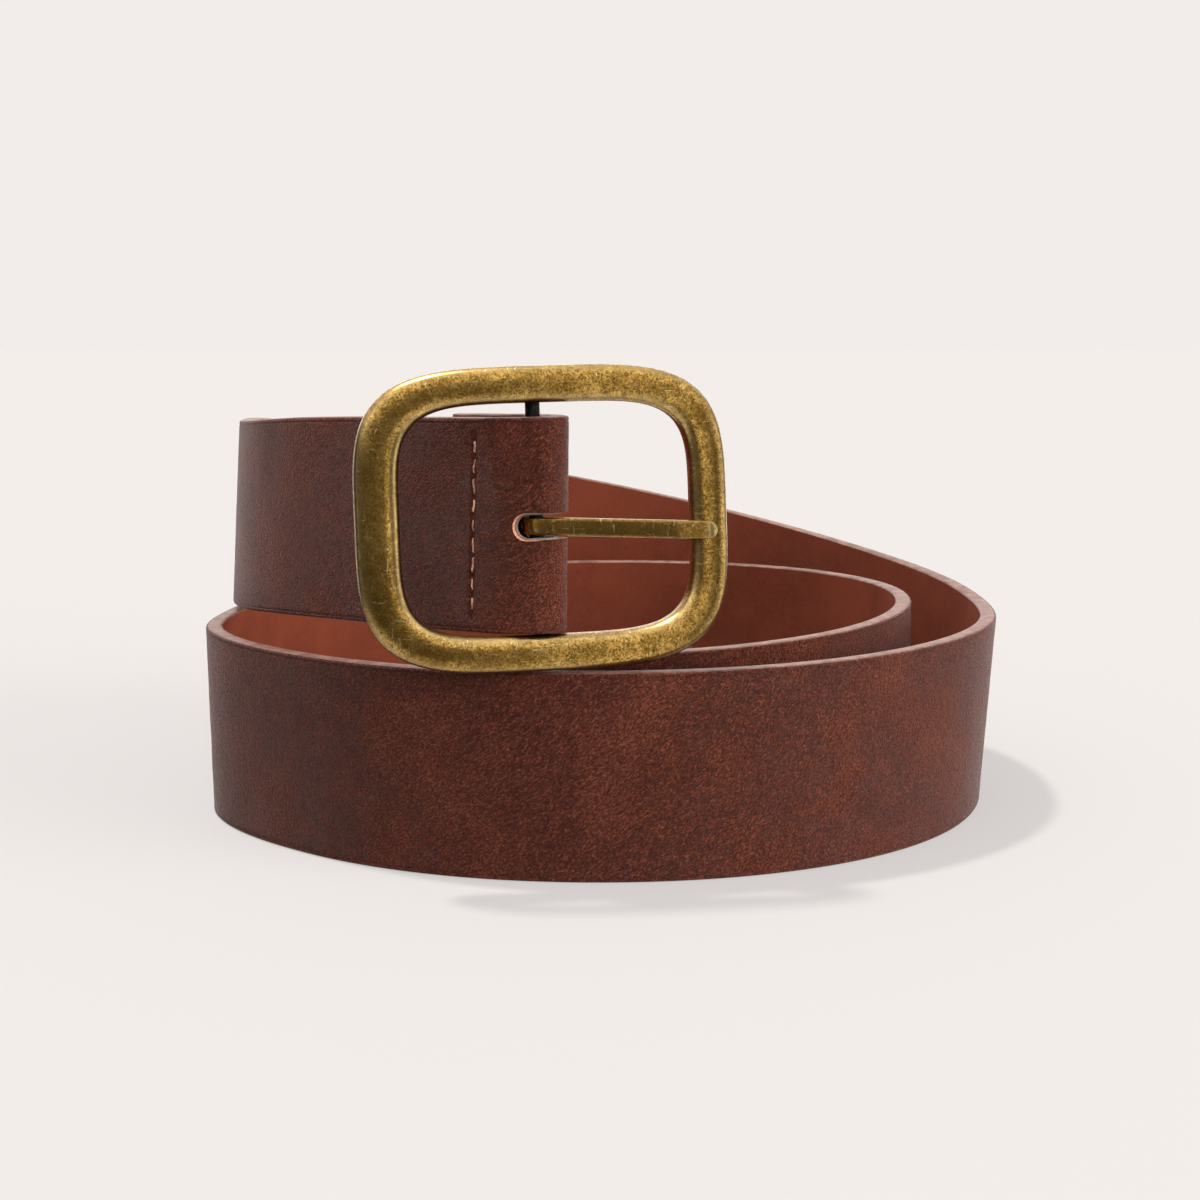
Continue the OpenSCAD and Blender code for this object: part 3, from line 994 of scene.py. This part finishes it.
def lining_material():
    """Smooth red-brown lining leather with a faint nap."""
    m = Shader("lining")
    cloud = m.noise(0.06, 3.0)
    nap = m.noise(1.1, 5.0, 0.7, 0.4)
    dark, light = (0.094, 0.0192, 0.0087), (0.12, 0.0252, 0.0113)
    napped = (0.152, 0.0355, 0.0168)
    base = m.mix(m.ranged(cloud, 0.35, 0.65), dark, light)
    base = m.laid(base, m.ranged(nap, 0.35, 0.7), 0.35, napped)
    pores = m.cells(2.6, m.shifted(1.0, 0.4), "SMOOTH_F1", 0.4)
    height = m.math("ADD", m.times(pores, -0.4), m.noise(5.0, 3.0, 0.6))
    normal = m.bump(height, 0.05, 0.5)
    rough = m.ranged(nap, 0.3, 0.7, 0.5, 0.66)
    return m.finish(base, rough, normal, Specular_IOR_Level=0.12)


def filler_material():
    """Grey-brown bonded board between the two leathers."""
    m = Shader("filler")
    fleck = m.noise(3.0, 4.0, 0.7)
    dark, light = (0.1, 0.085, 0.08), (0.2, 0.165, 0.15)
    base = m.mix(m.ranged(fleck, 0.35, 0.65), dark, light)
    return m.finish(base, 0.85, m.bump(fleck, 0.12, 0.6))


def raw_material():
    """The raw cut wall of a punched hole or slot: pale orange fibres."""
    m = Shader("raw_leather")
    fibre = m.noise(3.2, 5.0, 0.75, 0.5)
    dark, light = (0.2, 0.075, 0.04), (0.62, 0.28, 0.17)
    base = m.mix(m.ranged(fibre, 0.35, 0.65), dark, light)
    return m.finish(base, 0.85, m.bump(fibre, 0.12, 0.7))


def coat_material():
    """Pinkish brown edge paint, satin and a little uneven."""
    m = Shader("edge_coat")
    cloud = m.noise(0.35, 4.0, 0.6)
    fleck = m.noise(2.6, 4.0, 0.65)
    dark, light = (0.078, 0.034, 0.023), (0.15, 0.076, 0.055)
    flecked = (0.13, 0.062, 0.05)
    base = m.mix(m.ranged(cloud, 0.35, 0.65), dark, light)
    base = m.laid(base, m.ranged(fleck, 0.5, 0.72), 0.45, flecked)
    height = m.math("ADD", fleck, m.times(m.noise(0.9, 3.0), 0.8))
    rough = m.ranged(fleck, 0.3, 0.7, 0.4, 0.58)
    return m.finish(base, rough, m.bump(height, 0.09, 0.6), Specular_IOR_Level=0.2)


def thread_material():
    """Waxed tan thread with fine fibres and soiled places."""
    m = Shader("thread")
    fibre = m.noise(6.0, 4.0, 0.7)
    soil = m.noise(1.1, 3.0)
    dark, light, soiled = (0.26, 0.1, 0.055), (0.58, 0.31, 0.19), (0.16, 0.06, 0.035)
    base = m.mix(m.ranged(fibre, 0.3, 0.7), dark, light)
    base = m.laid(base, m.ranged(soil, 0.42, 0.58), 0.85, soiled)
    return m.finish(base, 0.6, m.bump(fibre, 0.06, 0.8), Sheen_Weight=0.15)


def brass_material(name, shade_share):
    """Antique brass: olive patina with gold showing through, worn bright on its ridges.
    A shade of 0 is the plain patina and 1 is all dark: painted shade, which darkens a
    part whose flat face mirrors the studio's dark front."""
    m = Shader(name)
    wear = m.attribute("wear")
    cloud = m.noise(0.2, 4.0, 0.65)
    blotch = m.noise(0.9, 6.0, 0.75, 0.3)
    speck = m.noise(2.7, 5.0, 0.72, 0.2)
    gold, olive, soot = (0.52, 0.31, 0.08), (0.225, 0.122, 0.02), (0.055, 0.028, 0.005)
    # The bright colour is gold showing in flecks; the second colour on this line is
    # painted shade.
    bright, shade_colour = (0.6, 0.4, 0.14), (0.12, 0.066, 0.015)
    rubbed, scratched = (0.7, 0.52, 0.24), (0.86, 0.68, 0.34)
    base = m.mix(m.ranged(blotch, 0.36, 0.62), olive, gold)
    base = m.laid(base, m.ranged(cloud, 0.42, 0.62), 0.75, olive)
    base = m.laid(base, m.ranged(speck, 0.47, 0.6), 0.8, soot)
    base = m.laid(base, m.ranged(speck, 0.44, 0.34), 0.45, bright)
    # Painted shade: the whole piece darkened towards the dull colour by the given
    # share.
    base = m.mix(shade_share, base, shade_colour)
    worn = m.times(wear, m.ranged(blotch, 0.3, 0.55, 0.45, 1.0))
    base = m.laid(base, worn, 0.5, rubbed)
    upright = m.scratches(0.55, (0.25, 1.0, 2.4))
    lines = m.math("ADD", upright, m.scratches(0.5, (2.2, 1.0, 0.35)))
    base = m.laid(base, lines, 0.6, scratched)
    rough = m.ranged(blotch, 0.3, 0.7, 0.31, 0.25)
    rough = m.math("ADD", rough, m.times(m.ranged(speck, 0.48, 0.68), 0.22))
    height = m.math("ADD", m.times(speck, 0.5), m.times(blotch, 0.5))
    height = m.math("SUBTRACT", height, m.times(lines, 0.2))
    return m.finish(base, rough, m.bump(height, 0.05, 0.6), Metallic=1.0)


def steel_material():
    """Blackened steel with a few rubbed places."""
    m = Shader("dark_steel")
    rub = m.noise(0.7, 4.0, 0.65)
    black, rubbed = (0.012, 0.011, 0.012), (0.06, 0.055, 0.055)
    base = m.mix(m.ranged(rub, 0.45, 0.75), black, rubbed)
    rough = m.ranged(rub, 0.3, 0.7, 0.5, 0.34)
    return m.finish(base, rough, m.bump(m.noise(3.0, 4.0), 0.05, 0.6), Metallic=0.9)


def floor_material():
    """Pale paper, partly lit from within so that it meets the backdrop evenly."""
    m = Shader("floor")
    grain = m.noise(0.6, 3.0)
    lighter = tuple(1.006 * c for c in FLOOR_TONE)
    base = m.mix(m.ranged(grain, 0.3, 0.7), FLOOR_TONE, lighter)
    m.bsdf.inputs["Emission Color"].default_value = (*FLOOR_GLOW, 1.0)
    return m.finish(base, 1.0, None, Emission_Strength=1.0, Specular_IOR_Level=0.0)


# Staging

BACKGROUND = (0.888, 0.847, 0.823)
FLOOR_TONE = (0.13, 0.124, 0.12)
FLOOR_GLOW = (0.486, 0.466, 0.456)
FLOOR_SIZE, FLOOR_LINES, FLOOR_DROP = 6.0, 24, 0.02
CAMERA_AT = (-2.25, -485.58, 112.7)
CAMERA_PITCH = 8.36
CAMERA_LENS, SENSOR_WIDTH = 65.97, 36.0
CAMERA_NEAR, CAMERA_FAR = 0.01, 20.0

# The studio's lights. Each is the product of its ranges, and a range is an axis, the
# two shares of it between which the light grows, and its strength at both.
STUDIO_TINT = (1.0, 0.985, 0.975)
RIGHT, UP = (1.0, 0.0, 0.0), (0.0, 0.0, 1.0)
REAR, FRONT = (0.0, 1.0, 0.0), (0.0, -1.0, 0.0)
ABOVE = [(UP, 0.1, 0.42, 0.04, 1.2)]
BELOW = [(UP, -0.14, -0.5, 0.0, 0.9)]
LEFT_SIDE = [(RIGHT, -0.95, -1.0, 0.0, 0.35)]
RIGHT_SIDE = [(RIGHT, 0.8, 1.0, 0.0, 1.6)]
BEHIND = [(REAR, 0.6, 0.98, 0.0, 2.3)]
WINDOW = [
    (FRONT, 0.2, 0.5, 0.0, 1.9),
    (RIGHT, 0.25, 0.36, 0.0, 1.0),
    (RIGHT, 0.66, 0.44, 0.0, 1.0),
]
SOFT_BOX = [(FRONT, 0.05, 0.3, 0.0, 1.0), (UP, 0.14, 0.36, 0.0, 1.8)]


def camera():
    """The camera, in front and a little above, looking slightly down."""
    data = bpy.data.cameras.new("camera")
    data.lens, data.sensor_width = CAMERA_LENS, SENSOR_WIDTH
    data.clip_start, data.clip_end = CAMERA_NEAR, CAMERA_FAR
    made = bpy.data.objects.new("camera", data)
    made.location = Vector(CAMERA_AT) * MM
    made.rotation_euler = (math.radians(90 - CAMERA_PITCH), 0, 0)
    bpy.context.scene.collection.objects.link(made)
    bpy.context.scene.camera = made


def soft_sun(name, travel, strength, angle, tint, mirrored):
    """A far, wide light that shines along travel, even over the whole floor."""
    data = bpy.data.lights.new(name, "SUN")
    data.energy, data.color, data.angle = strength, tint, math.radians(angle)
    made = bpy.data.objects.new(name, data)
    made.rotation_euler = Vector(travel).to_track_quat("-Z", "Y").to_euler()
    made.location = -Vector(travel).normalized()
    made.visible_glossy = mirrored
    bpy.context.scene.collection.objects.link(made)


def world():
    """A pale studio: bright above and behind, dim below, and dark low in front but for
    a tall window of light to the right of the camera and a soft box above it. The
    camera sees an even backdrop in its place."""
    made = bpy.data.worlds.new("studio")
    bpy.context.scene.world = made
    made.use_nodes = True
    nodes, links = made.node_tree.nodes, made.node_tree.links
    nodes.clear()

    def share_of(axis):
        """How far a direction points along an axis."""
        node = nodes.new("ShaderNodeVectorMath")
        node.operation = "DOT_PRODUCT"
        links.new(place, node.inputs[0])
        node.inputs[1].default_value = axis
        return node.outputs["Value"]

    def combined(operation, values):
        """One value from many, taken two at a time."""

        def pair(first, second):
            node = nodes.new("ShaderNodeMath")
            node.operation = operation
            links.new(first, node.inputs[0])
            links.new(second, node.inputs[1])
            return node.outputs[0]

        return reduce(pair, values)

    out = nodes.new("ShaderNodeOutputWorld")
    seen, lit = nodes.new("ShaderNodeBackground"), nodes.new("ShaderNodeBackground")
    seen.inputs["Color"].default_value = (*BACKGROUND, 1.0)
    lit.inputs["Color"].default_value = (*STUDIO_TINT, 1.0)
    place = nodes.new("ShaderNodeTexCoord").outputs["Generated"]
    lights = []
    for light in (ABOVE, BELOW, LEFT_SIDE, RIGHT_SIDE, BEHIND, WINDOW, SOFT_BOX):
        grown = [eased(nodes, links, share_of(axis), rest) for axis, *rest in light]
        lights.append(combined("MULTIPLY", grown))
    links.new(combined("MAXIMUM", lights), lit.inputs["Strength"])
    path = nodes.new("ShaderNodeLightPath")
    pick = nodes.new("ShaderNodeMixShader")
    links.new(path.outputs["Is Camera Ray"], pick.inputs[0])
    links.new(lit.outputs[0], pick.inputs[1])
    links.new(seen.outputs[0], pick.inputs[2])
    links.new(pick.outputs[0], out.inputs[0])


def floor():
    """A pale floor as bright as the backdrop. The metal mirrors the studio's dark low
    part through it, as it would mirror a floor in the camera's own shade."""
    count = FLOOR_LINES
    line = np.linspace(-FLOOR_SIZE / 2, FLOOR_SIZE / 2, count) / MM
    points = [(x, y, -FLOOR_DROP) for y in line for x in line]
    faces = [
        (j * count + i, j * count + i + 1, (j + 1) * count + i + 1, (j + 1) * count + i)
        for j in range(count - 1)
        for i in range(count - 1)
    ]
    made = new_object("floor", points, faces, [floor_material()])
    made.visible_glossy = False


def build():
    """Makes every piece, and says which body it rides on, its material slot and the CAD
    node whose place it takes."""
    grain, lining, filler = grain_material(), lining_material(), filler_material()
    raw, coat, thread = raw_material(), coat_material(), thread_material()
    brass = brass_material("antique_brass", 0.0)
    # The prong's brass, darkened as painted shade because its flat face mirrors the
    # studio's dark front.
    shaded_brass = brass_material("shaded_brass", 0.6)
    steel = steel_material()
    path = strap_path()
    body = path.part(1, len(path) - 2)
    tools = cutters([raw], SLOT_STEPS)
    ups = np.linspace(COAT_COVER, WIDTH - COAT_COVER, 30)
    face = layer("grain_face", body, FACE, face_section(), [grain, raw], grain_relief)
    board_section = [(FACE, up) for up in ups]
    core = layer("filler_board", body, FACE + CORE, board_section, [filler])
    lining_section = [(FACE + CORE, up) for up in ups]
    back = layer("lining_layer", body, THICK, lining_section, [lining, raw])
    for piece in (face, back):
        cut(piece, tools)
    filler_tools = cutters([filler], FILLER_SLOT_STEPS)
    cut(core, filler_tools)
    for tool in tools + filler_tools:
        bpy.data.objects.remove(tool)
    bead = edge_coat(path, coat)
    front = stitches("front_stitches", 0, thread)
    rear = stitches("back_stitches", 2 * THICK + LAYER_GAP, thread)
    frame_piece = buckle_frame(brass)
    bar_piece = bar(steel)
    prong_piece = prong(shaded_brass)
    pieces = (
        (face, "strap", "grain_leather", "face_leather"),
        (core, "strap", "filler", "filler_core"),
        (back, "strap", "lining", "lining_leather"),
        (bead, "strap", "edge_coat", None),
        (front, "strap", "thread", "needle_thread"),
        (rear, "strap", "thread", "bobbin_thread"),
        (frame_piece, "buckle", "antique_brass", "buckle_frame"),
        (bar_piece, "buckle", "dark_steel", "centre_bar"),
        (prong_piece, "prong", "antique_brass", "prong"),
    )
    for piece, rider, slot, node in pieces:
        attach(piece, rider)
        if node:
            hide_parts(node)


bpy.context.scene.view_settings.view_transform = "Standard"
camera()
world()
floor()
build()
soft_sun("high_left", (0.3, -0.2, -0.93), 4.6, 5, (1.0, 0.99, 0.97), True)
soft_sun("right", (-0.9, 0.38, -0.2), 5.8, 50, (1.0, 0.97, 0.94), False)
